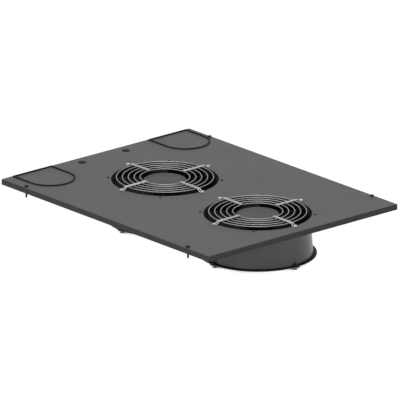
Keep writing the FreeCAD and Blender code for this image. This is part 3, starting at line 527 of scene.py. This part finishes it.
def follow(shape, loop, here, path):
    """Draws the open end of a wire on along a path, bent at all but the last of its corners."""
    for corner, further in zip(path, path[1:]):
        before, after = (corner - here).normalized(), (further - corner).normalized()
        angle = before.angle(after)
        cut = LEG_BEND * math.tan(angle / 2)
        start = corner - before * cut
        loop = pull(shape, loop, shift=start - here)
        inward = (after - before * before.dot(after)).normalized()
        loop = pull(shape, loop, steps=5, centre=start + inward * LEG_BEND, axis=before.cross(after),
                    angle=angle)
        here = corner + after * cut
    return pull(shape, loop, shift=path[-1] - here)


def hairpin(top):
    """One spoke: two close legs over the rings, bent down and parted to an eye round the screw."""
    shape = bmesh.new()
    leg = [Vector(spot) for spot in (
        (SPOKE_START, LEG, top), (SPOKE_BEND, LEG, top), (SPOKE_FOOT, EYE, WIRE),
        (SCREW_CIRCLE, EYE, WIRE),
    )]
    other = [Vector((spot.x, -spot.y, spot.z)) for spot in leg]
    start = draw_circle(shape, WIRE_SIDES, WIRE, other[0], Matrix.Rotation(math.pi / 2, 4, "Y"))
    loop = follow(shape, start, other[0], other[1:])
    loop = pull(shape, loop, steps=14, centre=(SCREW_CIRCLE, 0, WIRE), angle=math.pi)
    loop = follow(shape, loop, leg[3], leg[2::-1])
    bmesh.ops.holes_fill(shape, edges=start + loop, sides=WIRE_SIDES)
    # The spoke takes the lighter copy of the plating: painted highlight.
    for face in shape.faces:
        face.material_index = guard_looks.index(spoke_painted_highlight)
    return shape


def finger_guard(level, top):
    """Rings and spokes at their levels over the screws' seat, and the weld beads where they cross."""
    shape = bmesh.new()
    spoke = hairpin(top)
    bead = bmesh.new()
    bmesh.ops.create_icosphere(bead, subdivisions=1, radius=1.25,
                               matrix=Matrix.Diagonal((1.1, 1.1, 0.7, 1)))
    quarters = [Matrix.Rotation(math.tau / SPOKES * number, 4, "Z") for number in range(SPOKES)]
    for count in range(RINGS):
        radius = FIRST_RING + RING_STEP * count
        ring = bmesh.new()
        edges = draw_circle(ring, WIRE_SIDES, WIRE, (radius, 0, level),
                            Matrix.Rotation(math.pi / 2, 4, "X"))
        bmesh.ops.spin(ring, geom=edges, cent=(0, 0, 0), axis=(0, 0, 1), dvec=(0, 0, 0),
                       angle=math.tau, steps=96, use_merge=True)
        add(shape, ring)
        ring.free()
        for quarter in quarters:
            for side in (-LEG, LEG):
                add(shape, bead, quarter @ Vector((radius, side, (top + level) / 2)))
    for number in range(SPOKES):
        add(shape, spoke, turn=math.tau / SPOKES * number)
    spoke.free()
    bead.free()
    return shape


outlet, inlet = finger_guard(RING_RISE, RING_RISE + WELDED), finger_guard(WIRE + WELDED, WIRE)
for fan, y in FANS.items():
    for name, guard, seat, flip in (
        ("outlet", outlet, PANEL_TOP, False), ("inlet", inlet, BRACKET_FOOT, True),
    ):
        whole = bmesh.new()
        add(whole, guard, (0, y, seat), flip=flip)
        piece(f"{name}_guard_{fan}", whole, guard_looks, sharp=60)
outlet.free()
inlet.free()


# Fan fasteners: plated screws hold the outlet guards and black ones the shrouds, bolts and nuts hold
# the brackets and inlet guards under the lower flanges, and short screws hold the motors.
def fan_places(circle, angles, level):
    """Each place on a circle round the fans, with its angle and its fan's place along the tray."""
    for y in FANS.values():
        for angle in map(math.radians, angles):
            yield Vector((circle * math.cos(angle), y + circle * math.sin(angle), level)), angle, y


def screw_set(name, finish, *, head, key, reach_down, circle, angles, level, flip=False):
    """The screws of one kind, seated at their level round both fans, heads up or heads down."""
    radius, height = head
    parts = [socket_head(radius, height, key), threaded_rod(SHANK, 0.0, -reach_down, pitch=0.7)]
    whole = bmesh.new()
    for spot, angle, y in fan_places(circle, angles, level):
        for part in parts:
            add(whole, part, spot, turn=angle * 3 + y, flip=flip)
    for part in parts:
        part.free()
    piece(name, whole, [finish], sharp=25)


painted_steel = surface("painted_screws", (0.05, 0.05, 0.051), drift=0.12, roughness=(0.45, 0.6),
                        grain=0.3, depth=0.01, shine=0.3)
QUARTERS = (0, 90, 180, 270)
DIAGONALS = (45, 135, 225, 315)
SHANK = 2.0
MOTOR_CIRCLE, MOTOR_PLATE = 36.0, -73.0
NUT_ACROSS, NUT_HEIGHT = 7.0, 3.2
screw_set("outlet_guard_screws", retainer_steel, head=(4.2, 2.4), key=1.4, reach_down=8.3,
          circle=SCREW_CIRCLE, angles=QUARTERS, level=PANEL_TOP + 2 * WIRE)
screw_set("shroud_screws", painted_steel, head=(3.6, 2.2), key=1.3, reach_down=6.0,
          circle=SCREW_CIRCLE, angles=DIAGONALS, level=PANEL_TOP)
screw_set("inlet_guard_bolts", black_steel, head=(4.2, 2.39), key=1.4, reach_down=16.3,
          circle=SCREW_CIRCLE, angles=QUARTERS, level=BRACKET_FOOT - 2 * WIRE, flip=True)
screw_set("motor_screws", retainer_steel, head=(3.6, 2.2), key=1.3, reach_down=8.0,
          circle=MOTOR_CIRCLE, angles=DIAGONALS, level=MOTOR_PLATE, flip=True)
nut = bmesh.new()
outer = draw_circle(nut, 6, NUT_ACROSS / math.sqrt(3))
inner = draw_circle(nut, 24, SHANK)
bmesh.ops.bridge_loops(nut, edges=outer + inner)
lifted = bmesh.ops.extrude_face_region(nut, geom=nut.faces[:])
bmesh.ops.translate(nut, verts=[item for item in lifted["geom"] if isinstance(item, bmesh.types.BMVert)],
                    vec=(0, 0, NUT_HEIGHT))
bmesh.ops.recalc_face_normals(nut, faces=nut.faces)
soften(nut, 0.35, angle=0.8, segments=2, shortest=2.0)
nuts = bmesh.new()
for spot, angle, y in fan_places(SCREW_CIRCLE, QUARTERS, UNDERSIDE + LEDGE):
    add(nuts, nut, spot, turn=angle)
nut.free()
piece("flange_nuts", nuts, [black_steel], sharp=25)
